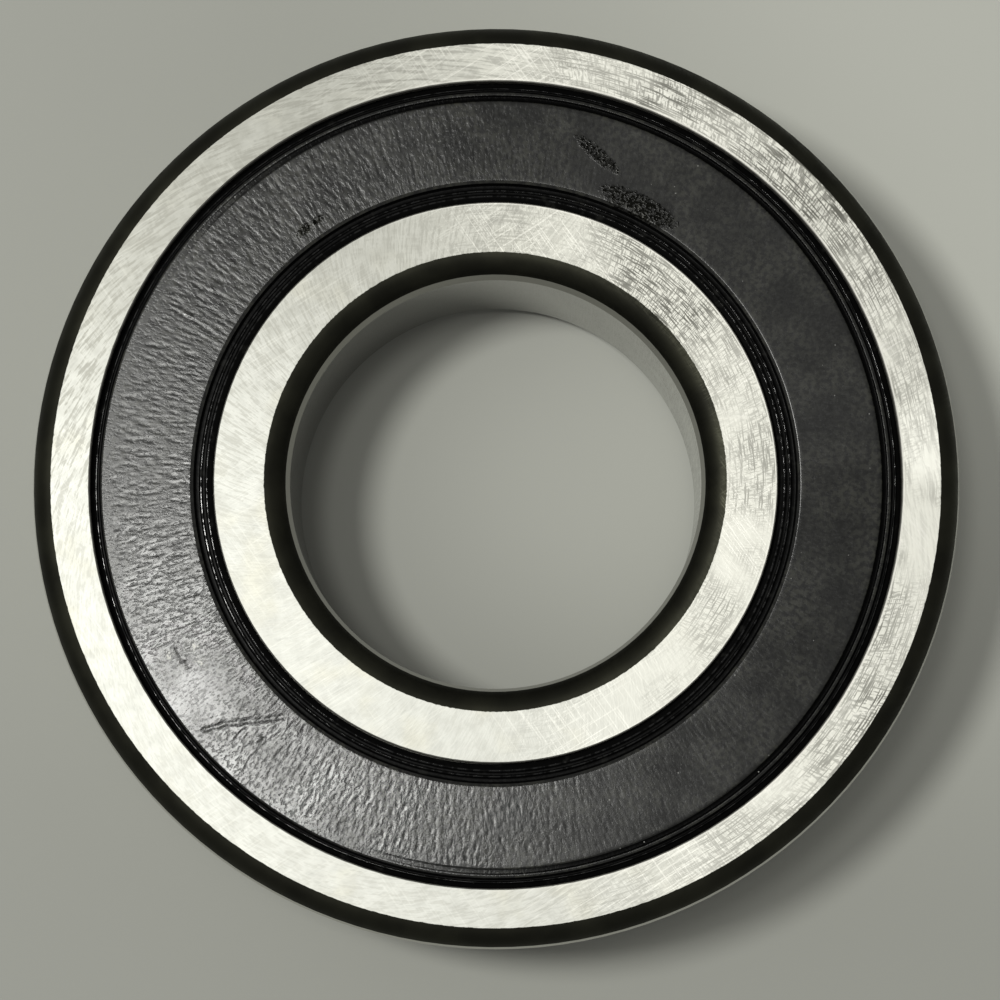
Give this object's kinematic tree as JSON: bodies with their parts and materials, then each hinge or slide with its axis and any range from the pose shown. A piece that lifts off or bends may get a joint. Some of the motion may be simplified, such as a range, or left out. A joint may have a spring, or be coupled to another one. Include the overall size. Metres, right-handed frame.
{
  "type": "ball bearing",
  "caption": "Deep-groove ball bearing for a shaft, with two ground steel rings, a riveted steel cage and a black rubber contact seal on each side.",
  "frame": {"origin": "centre of the bearing, on the shaft axis at the middle of the rings' width", "axes": "+Z along the bore; the bearing lies flat, and ball_1 is on +X"},
  "size_m": [0.09, 0.09, 0.023],
  "materials": {
    "ring_steel": "ground faces, bore and outside, with dark heat-treated corners",
    "ball_steel": "lapped to a mirror",
    "cage_steel": "tumbled pressed sheet",
    "rivet_steel": "upset bright steel",
    "seal_rubber": "moulded, matt on the face and glossy at the lip and rim",
    "insert_steel": "phosphated sheet"
  },
  "bodies": {
    "outer_assembly": {"outer_ring": "ring_steel", "seal_rubber_upper": "seal_rubber", "seal_insert_upper": "insert_steel", "seal_rubber_lower": "seal_rubber", "seal_insert_lower": "insert_steel"},
    "inner_race": {"inner_ring": "ring_steel"},
    "cage": {"cage_half_upper": "cage_steel", "cage_half_lower": "cage_steel", "cage_rivets": "rivet_steel"},
    "ball_1": {"ball_1": "ball_steel"},
    "ball_2": {"ball_2": "ball_steel"},
    "ball_3": {"ball_3": "ball_steel"},
    "ball_4": {"ball_4": "ball_steel"},
    "ball_5": {"ball_5": "ball_steel"},
    "ball_6": {"ball_6": "ball_steel"},
    "ball_7": {"ball_7": "ball_steel"},
    "ball_8": {"ball_8": "ball_steel"}
  },
  "joints": [
    {"name": "inner_ring_spin", "type": "hinge", "parent": "outer_assembly", "child": "inner_race", "pos_m": [0, 0, 0], "axis": [0, 0, 1], "continuous": true},
    {"name": "cage_orbit", "type": "hinge", "parent": "outer_assembly", "child": "cage", "pos_m": [0, 0, 0], "axis": [0, 0, 1], "continuous": true},
    {"name": "ball_1_spin", "type": "hinge", "parent": "cage", "child": "ball_1", "pos_m": [0.0325, 0, 0], "axis": [0, 0, 1], "continuous": true},
    {"name": "ball_2_spin", "type": "hinge", "parent": "cage", "child": "ball_2", "pos_m": [0.02298, 0.02298, 0], "axis": [0, 0, 1], "continuous": true},
    {"name": "ball_3_spin", "type": "hinge", "parent": "cage", "child": "ball_3", "pos_m": [0, 0.0325, 0], "axis": [0, 0, 1], "continuous": true},
    {"name": "ball_4_spin", "type": "hinge", "parent": "cage", "child": "ball_4", "pos_m": [-0.02298, 0.02298, 0], "axis": [0, 0, 1], "continuous": true},
    {"name": "ball_5_spin", "type": "hinge", "parent": "cage", "child": "ball_5", "pos_m": [-0.0325, 0, 0], "axis": [0, 0, 1], "continuous": true},
    {"name": "ball_6_spin", "type": "hinge", "parent": "cage", "child": "ball_6", "pos_m": [-0.02298, -0.02298, 0], "axis": [0, 0, 1], "continuous": true},
    {"name": "ball_7_spin", "type": "hinge", "parent": "cage", "child": "ball_7", "pos_m": [0, -0.0325, 0], "axis": [0, 0, 1], "continuous": true},
    {"name": "ball_8_spin", "type": "hinge", "parent": "cage", "child": "ball_8", "pos_m": [0.02298, -0.02298, 0], "axis": [0, 0, 1], "continuous": true}
  ],
  "couplings": [
    {"joint": "cage_orbit", "follows": "inner_ring_spin", "ratio": 0.384},
    {"joint": "ball_1_spin", "follows": "inner_ring_spin", "ratio": -2.0392},
    {"joint": "ball_2_spin", "follows": "inner_ring_spin", "ratio": -2.0392},
    {"joint": "ball_3_spin", "follows": "inner_ring_spin", "ratio": -2.0392},
    {"joint": "ball_4_spin", "follows": "inner_ring_spin", "ratio": -2.0392},
    {"joint": "ball_5_spin", "follows": "inner_ring_spin", "ratio": -2.0392},
    {"joint": "ball_6_spin", "follows": "inner_ring_spin", "ratio": -2.0392},
    {"joint": "ball_7_spin", "follows": "inner_ring_spin", "ratio": -2.0392},
    {"joint": "ball_8_spin", "follows": "inner_ring_spin", "ratio": -2.0392}
  ]
}
